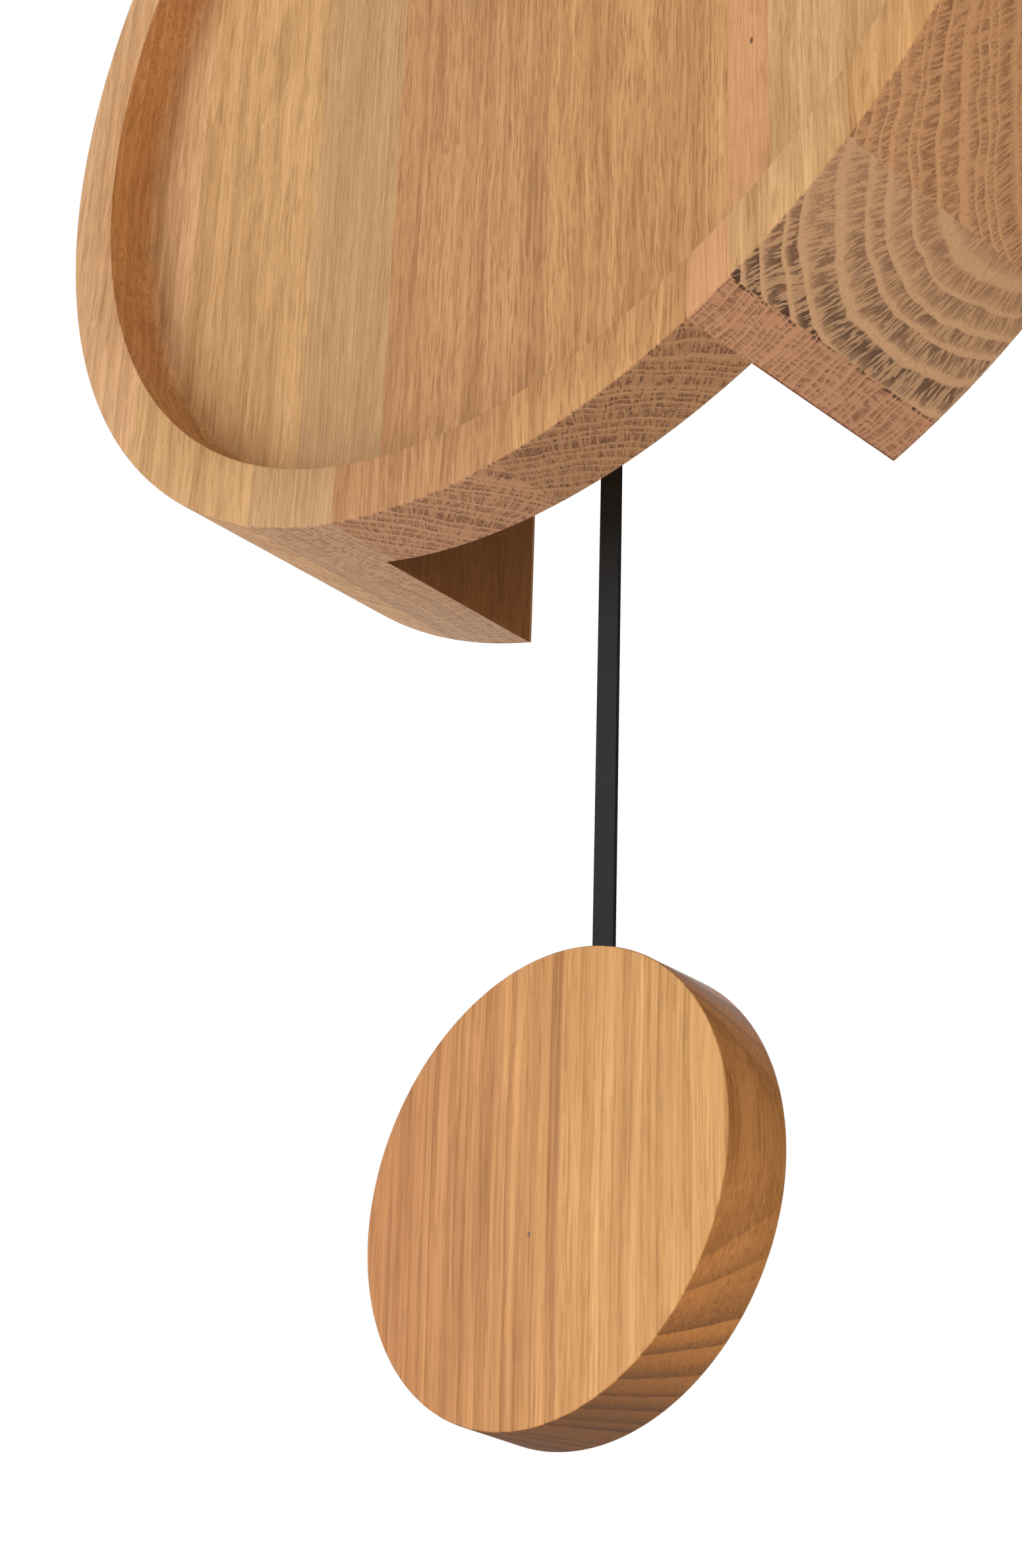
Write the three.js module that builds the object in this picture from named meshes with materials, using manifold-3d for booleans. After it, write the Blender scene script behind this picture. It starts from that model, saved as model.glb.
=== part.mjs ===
// Pendulum wall clock: a round oak case with a sunk dial, a quartz pendulum movement and a wooden bob.
// Millimetres. +X is right as seen from the front, +Y goes into the wall, +Z is up.
// The wall is the plane y = 0 and the origin is the point that hangs on the wall screw.
import * as THREE from 'three';
import { mergeVertices } from 'three/examples/jsm/utils/BufferGeometryUtils.js';
import Module from 'manifold-3d';

const wasm = await Module();
wasm.setup();

// ---- driving sizes ----
const caseRadius = 150;
const caseDepth = 61;
const rimWidth = 13.6;
const recessDepth = 12;
const dialThickness = 6.2;
const floorFillet = 2.5;
const channelWidth = 99;
const channelShift = 1;          // channel middle, right of the rod
const hangDrop = 110;          // hanging point above the dial centre
const bobRadius = 43.4;
const bobThickness = 14.8;
const bobDrop = 291;           // bob centre below the dial centre
const rodWidth = 5.2;
const rodThickness = 0.8;
const armThickness = 2.1;
const minuteLength = 104;
const hourLength = 70;
const fitGap = 0.3;            // touching pieces
const turnGap = 0.1;           // shafts in holes, radial

// ---- levels front to back ----
const frontY = -caseDepth;
const dialY = frontY + recessDepth;
const pocketY = dialY + dialThickness;
const moveY = pocketY + 1.3;              // movement's front face
const moveWall = 1.2;
const moveDepth = 16.3;
const towerDepth = 11.5;
const moveBackY = moveY + moveDepth;
const towerBackY = moveY + towerDepth;
const splitY = moveY + 5.4;               // where the two halves meet
const innerY = moveY + moveWall;
const innerBackY = moveBackY - moveWall;
const dialZ = -hangDrop;

// ---- movement ----
const boxWidth = 56;
const boxTop = 29;
const boxBottom = -26;
const towerWidth = 44;
const towerBottom = -62;
const postRadius = 4.2;
const tubeRadius = 2.5;
const arborRadius = 1.6;
const postTipY = dialY - 4.3;
const hourHandY = postTipY - 1.4;
const minuteHandY = hourHandY - 1.8;
const handThickness = 0.8;
const pivotZ = -40;
const pegZ = -61;
const wheelThickness = 1;

// ---- geometry helpers: every one returns a solid ----
function toSolid(geometry) {
  const source = geometry.index ? geometry.toNonIndexed() : geometry;
  const plain = new THREE.BufferGeometry();
  plain.setAttribute('position', source.getAttribute('position').clone());
  const merged = mergeVertices(plain, 1e-5);
  const place = merged.getAttribute('position').array;
  const order = Array.from(merged.index.array);
  const kept = [];
  let volume = 0;
  for (let i = 0; i < order.length; i += 3) {
    const [a, b, c] = order.slice(i, i + 3);
    if (a === b || b === c || a === c) continue;
    kept.push(a, b, c);
    const p = new THREE.Vector3().fromArray(place, 3 * a);
    const q = new THREE.Vector3().fromArray(place, 3 * b);
    const s = new THREE.Vector3().fromArray(place, 3 * c);
    volume += p.dot(q.cross(s));
  }
  if (volume < 0) {
    for (let i = 0; i < kept.length; i += 3) [kept[i + 1], kept[i + 2]] = [kept[i + 2], kept[i + 1]];
  }
  const body = new wasm.Mesh({
    numProp: 3,
    vertProperties: new Float32Array(place),
    triVerts: new Uint32Array(kept),
  });
  return new wasm.Manifold(body);
}

// profile: [radius, y] pairs of a closed outline, turned about the Y axis through (x, z)
function turned(profile, sides, x = 0, z = 0) {
  const points = profile.map(([r, y]) => new THREE.Vector2(r, y));
  points.push(points[0].clone());
  const geometry = new THREE.LatheGeometry(points, sides);
  geometry.translate(x, 0, z);
  return toSolid(geometry);
}

function disc(radius, y0, y1, sides, x = 0, z = 0) {
  return turned([[0, y0], [radius, y0], [radius, y1], [0, y1]], sides, x, z);
}

function ring(radius, hole, y0, y1, sides, x = 0, z = 0) {
  return turned([[hole, y0], [radius, y0], [radius, y1], [hole, y1]], sides, x, z);
}

// a hole's radius that clears a round shaft by the given amount, facets counted
function holeFor(shaft, gap, sides) {
  return (shaft + gap) / Math.cos(Math.PI / sides);
}

function slab(shape, y0, y1) {
  const geometry = new THREE.ExtrudeGeometry(shape, { depth: y1 - y0, bevelEnabled: false, curveSegments: 12 });
  geometry.rotateX(Math.PI / 2);
  geometry.translate(0, y1, 0);
  return toSolid(geometry);
}

function outline(points) {
  return new THREE.Shape(points.map(([x, z]) => new THREE.Vector2(x, z)));
}

function block(x0, x1, y0, y1, z0, z1) {
  const geometry = new THREE.BoxGeometry(x1 - x0, y1 - y0, z1 - z0);
  geometry.translate((x0 + x1) / 2, (y0 + y1) / 2, (z0 + z1) / 2);
  return toSolid(geometry);
}

function roundedRect(x0, x1, z0, z1, r) {
  const shape = new THREE.Shape();
  shape.moveTo(x0 + r, z0);
  shape.lineTo(x1 - r, z0);
  shape.absarc(x1 - r, z0 + r, r, -Math.PI / 2, 0);
  shape.lineTo(x1, z1 - r);
  shape.absarc(x1 - r, z1 - r, r, 0, Math.PI / 2);
  shape.lineTo(x0 + r, z1);
  shape.absarc(x0 + r, z1 - r, r, Math.PI / 2, Math.PI);
  shape.lineTo(x0, z0 + r);
  shape.absarc(x0 + r, z0 + r, r, Math.PI, 1.5 * Math.PI);
  return shape;
}

function toothed(radius, teeth, y0, y1, x, z) {
  const depth = Math.min(0.6, radius * 0.16);
  const points = [];
  for (let i = 0; i < teeth; i += 1) {
    for (const [share, r] of [[0, radius], [0.5, radius - depth]]) {
      const turn = (2 * Math.PI * (i + share)) / teeth;
      points.push([x + r * Math.cos(turn), z + r * Math.sin(turn)]);
    }
  }
  return slab(outline(points), y0, y1);
}

const join = (...solids) => solids.reduce((all, next) => all.add(next));
const cut = (solid, ...tools) => tools.reduce((left, tool) => left.subtract(tool), solid);

// ---- output ----
const clock = new THREE.Group();
clock.name = 'pendulum_wall_clock';
const finishes = {
  oak: [0xc89b68, 0.6, 0],
  blackSteel: [0x2e3032, 0.55, 0.4],
  whitePlastic: [0xe6e4dc, 0.5, 0],
  greyPlastic: [0x4a4c4e, 0.5, 0],
  brass: [0xc7a14a, 0.35, 1],
  rubber: [0x1c1c1c, 0.85, 0],
  steel: [0xb4b6b8, 0.3, 1],
  copper: [0xb06a3c, 0.4, 1],
  board: [0x2f6b46, 0.6, 0],
  batterySleeve: [0x34516e, 0.35, 0],
};

function piece(name, finish, solid, liftZ = dialZ) {
  const data = solid.getMesh();
  const geometry = new THREE.BufferGeometry();
  geometry.setAttribute('position', new THREE.BufferAttribute(new Float32Array(data.vertProperties), 3));
  geometry.setIndex(new THREE.BufferAttribute(new Uint32Array(data.triVerts), 1));
  geometry.translate(0, 0, liftZ);
  geometry.computeVertexNormals();
  const [color, roughness, metalness] = finishes[finish];
  const mesh = new THREE.Mesh(geometry, new THREE.MeshStandardMaterial({ color, roughness, metalness }));
  mesh.name = name;
  clock.add(mesh);
}

// ---- case: edge-glued oak boards, turned and routed ----
const recessRadius = caseRadius - rimWidth;
const half = channelWidth / 2;
const boreSides = 24;
const hangerX = 21;            // hanger screws each side of the middle
const plateHalfX = 28;
const plateLow = -16;
const plateHigh = 8;
const plateSink = 3.2;
const plateBackY = -1.4;
const screwRadius = 1.3;

function caseBody() {
  const edge = 0.5;
  const backEdge = 0.5;
  const disk = turned([
    [0, frontY], [caseRadius - edge, frontY], [caseRadius, frontY + edge],
    [caseRadius, -backEdge], [caseRadius - backEdge, 0], [0, 0],
  ], 96);
  const wall = [[0, frontY - 5], [recessRadius, frontY - 5]];
  for (let i = 0; i <= 3; i += 1) {
    const turn = (Math.PI / 2) * (i / 3);
    wall.push([
      recessRadius - floorFillet * (1 - Math.cos(turn)),
      dialY - floorFillet * (1 - Math.sin(turn)),
    ]);
  }
  wall.push([0, dialY]);
  const recess = turned(wall, 96);
  const channel = new THREE.Shape();
  const left = channelShift - half;
  const right = channelShift + half;
  channel.moveTo(left, -caseRadius - 10);
  channel.lineTo(right, -caseRadius - 10);
  channel.lineTo(right, 0);
  channel.absarc(channelShift, 0, half, 0, Math.PI);
  channel.lineTo(left, -caseRadius - 10);
  let body = cut(disk, recess, slab(channel, pocketY, 5));
  body = cut(body, disc(postRadius + 0.4, dialY - 5, pocketY + 5, boreSides));
  const z = hangDrop;
  const seat = roundedRect(-plateHalfX - 0.3, plateHalfX + 0.3, z + plateLow - 0.3, z + plateHigh + 0.3, 3.3);
  body = cut(body, slab(seat, -plateSink, 5));
  body = cut(body, block(-8, 8, -plateSink - 10, 1, z - 14.5, z + 5));
  for (const x of [-hangerX, hangerX]) {
    body = cut(body, disc(screwRadius + 0.1, -plateSink - 13, 0, 12, x, z - 4));
  }
  return body;
}

// ---- keyhole hanger plate and its screws, in the row's own height ----
function hangerPlate() {
  const sheet = slab(roundedRect(-plateHalfX, plateHalfX, plateLow, plateHigh, 3), 0.3 - plateSink, plateBackY);
  const head = disc(5, -plateSink - 5, 5, 20, 0, -9);
  const slot = join(block(-2.5, 2.5, -plateSink - 5, 5, -9, -2.5), disc(2.5, -plateSink - 5, 5, 20, 0, -2.5));
  const holes = [-hangerX, hangerX].map((x) => disc(holeFor(screwRadius, 0.3, 12), -plateSink - 5, 5, 12, x, -4));
  return cut(sheet, head, slot, ...holes);
}

function hangerScrew(x) {
  const seat = plateBackY + 0.1;
  return turned([
    [0, -plateSink - 12], [screwRadius, -plateSink - 11], [screwRadius, seat],
    [2.6, seat], [2.2, seat + 1], [0, seat + 1],
  ], 12, x, -4);
}

// ---- movement housing ----
function housingOutline(inset) {
  const w = boxWidth / 2 - inset;
  const t = towerWidth / 2 - inset;
  const top = boxTop - inset;
  const step = boxBottom + inset;
  const low = towerBottom + inset;
  const c = 2;
  return outline([
    [-t + c, low], [t - c, low], [t, low + c], [t, step], [w - c, step], [w, step + c],
    [w, top - c], [w - c, top], [-w + c, top], [-w, top - c], [-w, step + c], [-w + c, step],
    [-t, step], [-t, low + c],
  ]);
}

function boxOutline(inset, low) {
  const w = boxWidth / 2 - inset;
  const top = boxTop - inset;
  const c = 2;
  return outline([[-w, low], [w, low], [w, top - c], [w - c, top], [-w + c, top], [-w, top - c]]);
}

const postBore = holeFor(tubeRadius, turnGap, boreSides);

function movementFront() {
  const tray = cut(slab(housingOutline(0), moveY, splitY), slab(housingOutline(moveWall), innerY, splitY + 5));
  const post = turned([
    [0, postTipY], [postRadius - 0.5, postTipY], [postRadius, postTipY + 0.5],
    [postRadius, moveY + 0.5], [0, moveY + 0.5],
  ], boreSides);
  return cut(join(tray, post), disc(postBore, postTipY - 5, innerY + 5, boreSides));
}

const battery = { z: 19.5, radius: 7.25, length: 49.2, nub: 1.3 };
const batteryY = innerY + fitGap + battery.radius;
const knobAt = [-11.1, -11.1];

function movementRear() {
  const start = splitY + 0.2;
  const outer = join(slab(housingOutline(0), start, towerBackY), slab(boxOutline(0, boxBottom), start, moveBackY));
  const inner = join(
    slab(housingOutline(moveWall), start - 1, towerBackY - moveWall),
    slab(boxOutline(moveWall, boxBottom + moveWall), start - 1, innerBackY),
  );
  const window = block(-26, 26, innerBackY - 1, moveBackY + 1, battery.z - 7.6, battery.z + 7.6);
  const rib = block(-27, 27, start, innerBackY + 0.2, battery.z - 9.1, battery.z - 8.1);
  const knobHole = disc(holeFor(1.2, 0.2, 12), innerBackY - 1, moveBackY + 1, 12, ...knobAt);
  const pinHole = disc(holeFor(0.9, 0.02, 12), towerBackY - 3, towerBackY + 1, 12, 0, pivotZ);
  return cut(join(cut(outer, inner), rib), window, knobHole, pinHole);
}

// ---- wheels: each turns on an arbor between the two plates ----
const levels = [0, 1, 2, 3, 4, 5].map((i) => innerY + 0.3 + 1.8 * i);
const arborEnds = [innerY + 0.3, innerBackY - 0.3];
const minuteWheelAt = [-11.1, 0];
const thirdAt = [7.85, -7.85];
const secondsAt = [16.65, -7.85];
const fifthAt = [16.65, -15.35];
const rotorAt = [11.1, -15.35];

function wheel(at, gears, arbor = 0.6) {
  let solid = disc(arbor, arborEnds[0], arborEnds[1], 8, ...at);
  for (const [level, radius, teeth] of gears) {
    solid = join(solid, toothed(radius, teeth, levels[level], levels[level] + wheelThickness, ...at));
  }
  return solid;
}

function hourWheel() {
  const bore = holeFor(arborRadius, turnGap, boreSides);
  const tube = disc(tubeRadius, hourHandY - 0.3, levels[0] + wheelThickness, boreSides);
  const gear = toothed(8.64, 40, levels[0], levels[0] + wheelThickness, 0, 0);
  return cut(join(tube, gear), disc(bore, frontY, 0, boreSides));
}

function minuteArbor() {
  const shaft = disc(arborRadius, minuteHandY - 0.5, levels[1], boreSides);
  const pinion = toothed(2.7, 10, levels[1] - 0.1, levels[1] + wheelThickness, 0, 0);
  return join(shaft, pinion, disc(1, levels[1], arborEnds[1], 12));
}

function centreWheel() {
  const gear = toothed(9.6, 40, levels[2], levels[2] + wheelThickness, 0, 0);
  const hub = disc(2, levels[2], levels[2] + 2, 12);
  return cut(join(gear, hub), disc(holeFor(1, 0.02, 12), frontY, 0, 12));
}

function settingKnob() {
  const back = moveBackY + fitGap;
  const grip = toothed(5, 16, back, back + 3, ...knobAt);
  const shaft = disc(1.2, arborEnds[0], back + 1, 12, ...knobAt);
  return join(grip, shaft, toothed(2.7, 10, levels[1], levels[1] + wheelThickness, ...knobAt));
}

// ---- stepping motor ----
const legZ = [-24.4, -21.4];
const statorY = levels[2] - 0.1;

function stator() {
  const plate = block(4, 24, statorY, statorY + 0.8, legZ[0], -12);
  const gap = block(7, 21, statorY - 1, statorY + 2, legZ[1], -18.9);
  const eye = disc(3.1, statorY - 1, statorY + 2, 20, ...rotorAt);
  return cut(plate, gap, eye, disc(1, statorY - 1, statorY + 2, 12, ...fifthAt));
}

function stepperCoil() {
  const midY = statorY + 0.4;
  const winding = block(8, 20, midY - 2.7, midY + 2.7, legZ[0] - 1.6, legZ[1] + 1.6);
  return cut(winding, block(7, 21, midY - 0.7, midY + 0.7, legZ[0] - 0.3, legZ[1] + 0.3));
}

function rotor() {
  const magnet = disc(2.4, statorY - 0.6, statorY + 1.4, 16, ...rotorAt);
  return join(wheel(rotorAt, [[5, 0.75, 6]], 0.5), magnet);
}

// ---- battery and its contacts ----
function batteryCell() {
  const start = -(battery.length + battery.nub) / 2;
  const points = [
    [0, 0], [battery.radius, 0], [battery.radius, battery.length], [2.75, battery.length],
    [2.75, battery.length + battery.nub], [0, battery.length + battery.nub],
  ].map(([r, y]) => new THREE.Vector2(r, y));
  const geometry = new THREE.LatheGeometry([...points, points[0].clone()], 20);
  geometry.rotateZ(-Math.PI / 2);
  geometry.translate(start, batteryY, battery.z);
  return toSolid(geometry);
}

function contact(side) {
  const near = 25.9 * side;
  const far = 26.4 * side;
  return block(Math.min(near, far), Math.max(near, far), batteryY - 4, batteryY + 4, battery.z - 5, battery.z + 5);
}

// ---- hands: flat strips with a round boss, turned clockwise from twelve ----
function hand(width, length, tail, boss, hole, y, hour) {
  const strip = slab(roundedRect(-width / 2, width / 2, -tail, length, width * 0.12), y, y + handThickness);
  const solid = join(strip, disc(boss, y, y + handThickness, boreSides));
  const open = cut(solid, disc(holeFor(hole, 0.02, boreSides), frontY, 0, boreSides));
  return open.rotate([0, hour * 30, 0]);
}

// ---- pendulum ----
const armY = [towerBackY + fitGap, towerBackY + fitGap + armThickness];
const rodY = armY[1] + fitGap;
const bobBackY = rodY - fitGap;
const bobFrontY = bobBackY - bobThickness;
const bobScrews = [15, -15];

function pivotPin() {
  const end = armY[1] + fitGap;
  return turned([
    [0, towerBackY - moveWall + 0.1], [0.9, towerBackY - moveWall + 0.1], [0.9, end],
    [1.9, end], [1.9, end + 0.9], [0, end + 0.9],
  ], 12, 0, pivotZ);
}

function hangerArm() {
  const blade = slab(roundedRect(-4, 4, -67, pivotZ + 5, 3.9), armY[0], armY[1]);
  const peg = disc(1.2, armY[1] - 0.5, rodY + rodThickness + 1.2, 12, 0, pegZ);
  const lip = block(-1, 1, rodY + rodThickness + 0.4, rodY + rodThickness + 1.2, pegZ, pegZ + 2.8);
  const eye = disc(holeFor(0.9, 0.06, 12), towerBackY - 1, armY[1] + 1, 12, 0, pivotZ);
  const seat = disc(3.1, armY[0] - 1, armY[1] - 0.5, 20, 0, -52);
  return cut(join(blade, peg, lip), eye, seat);
}

function armMagnet() {
  return disc(2.9, armY[0] + 0.05, armY[1] - 0.7, 20, 0, -52);
}

function pendulumRod() {
  const low = -bobDrop - 25;
  const strip = slab(roundedRect(-rodWidth / 2, rodWidth / 2, low, pegZ + 4.5, 0.4), rodY, rodY + rodThickness);
  const slot = slab(roundedRect(-1.5, 1.5, pegZ - 4.8, pegZ + 1.4, 1.45), rodY - 1, rodY + rodThickness + 1);
  const holes = bobScrews.map((z) => disc(1.6, rodY - 1, rodY + rodThickness + 1, 12, 0, z - bobDrop));
  return cut(strip, slot, ...holes);
}

function bob() {
  const edge = 0.35;
  const body = turned([
    [0, bobFrontY], [bobRadius - edge, bobFrontY], [bobRadius, bobFrontY + edge],
    [bobRadius, bobBackY - edge], [bobRadius - edge, bobBackY], [0, bobBackY],
  ], 72, 0, -bobDrop);
  return cut(body, ...bobScrews.map((z) => disc(1.3, bobBackY - 9, bobBackY + 1, 12, 0, z - bobDrop)));
}

function bobScrew(z) {
  const seat = rodY + rodThickness + 0.1;
  return turned([
    [0, bobBackY - 8], [1.2, bobBackY - 7.2], [1.2, seat], [2.7, seat], [2.4, seat + 1.3], [0, seat + 1.3],
  ], 12, 0, z - bobDrop);
}

piece('case_body', 'oak', caseBody());
piece('hanger_plate', 'steel', hangerPlate(), 0);
piece('hanger_screw_left', 'steel', hangerScrew(-hangerX), 0);
piece('hanger_screw_right', 'steel', hangerScrew(hangerX), 0);
piece('movement_front', 'greyPlastic', movementFront());
piece('movement_rear', 'greyPlastic', movementRear());
piece('rubber_washer', 'rubber', ring(9, postRadius + 0.3, pocketY + 0.15, moveY - 0.15, boreSides));
piece('brass_washer', 'brass', ring(8, postRadius + 0.3, dialY - 1.1, dialY - 0.3, boreSides));
piece('centre_nut', 'brass', cut(disc(6.4, dialY - 3.5, dialY - 1.4, 6),
  disc(postRadius + 0.1, frontY, 0, boreSides)));
piece('circuit_board', 'board', block(-19, 19, innerY + 0.3, innerY + 1.3, -58, -29));
piece('pendulum_coil', 'copper', ring(7, 2.5, innerY + 1.6, towerBackY - moveWall - 0.3, 24, 0, -52));
piece('stator', 'steel', stator());
piece('stepper_coil', 'copper', stepperCoil());
piece('battery', 'batterySleeve', batteryCell());
piece('contact_minus', 'steel', contact(-1));
piece('contact_plus', 'steel', contact(1));
piece('pivot_pin', 'steel', pivotPin());
piece('minute_arbor', 'brass', minuteArbor());
piece('centre_wheel', 'whitePlastic', centreWheel());
piece('minute_hand', 'blackSteel', hand(5, minuteLength, 20, 5.5, arborRadius, minuteHandY, 2));
piece('hand_cap', 'blackSteel', cut(disc(3.2, minuteHandY - 1.4, minuteHandY - fitGap, 20),
  disc(holeFor(arborRadius, 0.02, boreSides), minuteHandY - 0.8, 0, boreSides)));
piece('hour_wheel', 'whitePlastic', hourWheel());
piece('hour_hand', 'blackSteel', hand(7, hourLength, 16, 7, tubeRadius, hourHandY, 10 + 1 / 6));
piece('minute_wheel', 'whitePlastic', wheel(minuteWheelAt, [[1, 8.1, 30], [0, 2.16, 10]]));
piece('setting_knob', 'whitePlastic', settingKnob());
piece('third_wheel', 'whitePlastic', wheel(thirdAt, [[3, 7.5, 40], [2, 1.2, 8]]));
piece('seconds_wheel', 'whitePlastic', wheel(secondsAt, [[4, 6, 32], [3, 1, 8]]));
piece('fifth_wheel', 'whitePlastic', wheel(fifthAt, [[5, 4.5, 24], [4, 1.2, 8]]));
piece('rotor', 'whitePlastic', rotor());
piece('hanger_arm', 'whitePlastic', hangerArm());
piece('arm_magnet', 'steel', armMagnet());
piece('pendulum_rod', 'blackSteel', pendulumRod());
piece('bob', 'oak', bob());
piece('bob_screw_upper', 'steel', bobScrew(bobScrews[0]));
piece('bob_screw_lower', 'steel', bobScrew(bobScrews[1]));

export default clock;
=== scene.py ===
import math

import bmesh
import bpy
from mathutils import Matrix, Vector


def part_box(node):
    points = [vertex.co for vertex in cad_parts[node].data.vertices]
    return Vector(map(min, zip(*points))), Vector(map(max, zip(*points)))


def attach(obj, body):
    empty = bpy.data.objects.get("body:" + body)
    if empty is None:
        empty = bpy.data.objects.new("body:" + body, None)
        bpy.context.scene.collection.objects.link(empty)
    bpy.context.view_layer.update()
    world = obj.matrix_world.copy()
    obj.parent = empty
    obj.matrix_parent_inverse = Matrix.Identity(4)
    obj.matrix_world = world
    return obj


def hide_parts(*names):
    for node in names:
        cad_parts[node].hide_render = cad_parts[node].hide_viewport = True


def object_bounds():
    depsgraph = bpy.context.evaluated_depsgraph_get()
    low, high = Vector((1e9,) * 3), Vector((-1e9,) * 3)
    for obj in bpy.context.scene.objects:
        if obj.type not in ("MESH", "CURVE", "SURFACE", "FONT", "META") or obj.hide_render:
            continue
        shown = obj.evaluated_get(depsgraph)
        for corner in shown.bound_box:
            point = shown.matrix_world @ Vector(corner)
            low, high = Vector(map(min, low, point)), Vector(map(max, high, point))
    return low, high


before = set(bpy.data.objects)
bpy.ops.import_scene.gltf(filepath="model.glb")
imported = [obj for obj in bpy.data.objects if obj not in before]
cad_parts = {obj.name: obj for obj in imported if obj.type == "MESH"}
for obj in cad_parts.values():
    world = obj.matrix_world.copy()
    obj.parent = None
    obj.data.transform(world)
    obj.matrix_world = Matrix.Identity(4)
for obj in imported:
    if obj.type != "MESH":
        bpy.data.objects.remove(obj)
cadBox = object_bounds()
print("frame loaded:", len(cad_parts), "nodes")

mm = 0.001
caseLow, caseHigh = (Vector(v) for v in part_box("case_body"))
bobLow, bobHigh = (Vector(v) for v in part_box("bob"))
# middle of the front face of the case, and of the bob
dialCentre = Vector(((caseLow.x + caseHigh.x) / 2, caseLow.y, (caseLow.z + caseHigh.z) / 2))
bobCentre = Vector(((bobLow.x + bobHigh.x) / 2, bobLow.y, (bobLow.z + bobHigh.z) / 2))


def colour(hexText, alpha=1.0):
    channels = [int(hexText[i:i + 2], 16) / 255 for i in (1, 3, 5)]
    return [c / 12.92 if c <= 0.04045 else ((c + 0.055) / 1.055) ** 2.4 for c in channels] + [alpha]


def addNode(tree, kind, links=None, stops=None, **settings):
    node = tree.nodes.new(kind)
    for key, value in settings.items():
        setattr(node, key, value)
    for key, value in (links or {}).items():
        if isinstance(value, bpy.types.Node):
            value = value.outputs[0]
        if isinstance(value, bpy.types.NodeSocket):
            tree.links.new(value, node.inputs[key])
        else:
            node.inputs[key].default_value = value
    if stops:
        ramp = node.color_ramp
        while len(ramp.elements) > 1:
            ramp.elements.remove(ramp.elements[0])
        for i, (place, value) in enumerate(stops):
            stop = ramp.elements[0] if i == 0 else ramp.elements.new(place)
            stop.position = place
            stop.color = value if len(value) == 4 else [*value, 1.0]
    return node


def newMaterial(name, preview):
    material = bpy.data.materials.new(name)
    material.use_nodes = True
    material.diffuse_color = colour(preview)
    material.node_tree.nodes.clear()
    return material, material.node_tree


def meshObject(name, bm, material=None, sharpAngle=32):
    mesh = bpy.data.meshes.new(name)
    bmesh.ops.recalc_face_normals(bm, faces=bm.faces)
    bm.to_mesh(mesh)
    bm.free()
    thing = bpy.data.objects.new(name, mesh)
    bpy.context.scene.collection.objects.link(thing)
    for face in mesh.polygons:
        face.use_smooth = True
    mesh.set_sharp_from_angle(angle=math.radians(sharpAngle))
    if material:
        mesh.materials.append(material)
    return thing


def turnedBody(profile, steps, centre):
    # closed [radius, y] outline in mm turned about the Y axis through centre
    bm = bmesh.new()
    rings = []
    for r, y in profile:
        if r < 1e-6:
            rings.append([bm.verts.new((centre.x, y * mm, centre.z))])
            continue
        rings.append([bm.verts.new((
            centre.x + r * mm * math.cos(2 * math.pi * i / steps), y * mm,
            centre.z + r * mm * math.sin(2 * math.pi * i / steps))) for i in range(steps)])
    for a, b in zip(rings, rings[1:]):
        for i in range(steps):
            corners = [a[i % len(a)], a[(i + 1) % len(a)], b[(i + 1) % len(b)], b[i % len(b)]]
            unique = list(dict.fromkeys(corners))
            if len(unique) > 2:
                bm.faces.new(unique)
    return bm


def prism(points, y0, y1, centre):
    # an outline of [x, z] points in mm, pushed from y0 to y1
    bm = bmesh.new()
    front = [bm.verts.new((centre.x + x * mm, y0 * mm, centre.z + z * mm)) for x, z in points]
    back = [bm.verts.new((centre.x + x * mm, y1 * mm, centre.z + z * mm)) for x, z in points]
    bm.faces.new(front)
    bm.faces.new(list(reversed(back)))
    for i in range(len(points)):
        j = (i + 1) % len(points)
        bm.faces.new([front[i], back[i], back[j], front[j]])
    return bm


def roundedPoints(x0, x1, z0, z1, r, steps=6):
    points = []
    turns = ((x1 - r, z0 + r, -90), (x1 - r, z1 - r, 0), (x0 + r, z1 - r, 90), (x0 + r, z0 + r, 180))
    for cx, cz, start in turns:
        for i in range(steps + 1):
            turn = math.radians(start + 90 * i / steps)
            points.append((cx + r * math.cos(turn), cz + r * math.sin(turn)))
    return points


def circlePoints(r, steps, x=0, z=0):
    turns = [2 * math.pi * i / steps for i in range(steps)]
    return [(x + r * math.cos(turn), z + r * math.sin(turn)) for turn in turns]


def settle(thing):
    # keeps the result of every modifier as plain mesh
    graph = bpy.context.evaluated_depsgraph_get()
    mesh = bpy.data.meshes.new_from_object(thing.evaluated_get(graph))
    thing.modifiers.clear()
    thing.data = mesh


def carve(thing, cutters):
    for bm in cutters:
        tool = meshObject("cutter", bm)
        cut = thing.modifiers.new("cut", "BOOLEAN")
        cut.operation = "DIFFERENCE"
        cut.solver = "EXACT"
        cut.object = tool
        bpy.context.view_layer.update()
        settle(thing)
        bpy.data.objects.remove(tool)


def soften(thing, width, segments=2, angle=32):
    bevel = thing.modifiers.new("edges", "BEVEL")
    bevel.width = width * mm
    bevel.segments = segments
    bevel.limit_method = "ANGLE"
    bevel.angle_limit = math.radians(angle)
    bevel.use_clamp_overlap = True
    bevel.harden_normals = True


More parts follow.
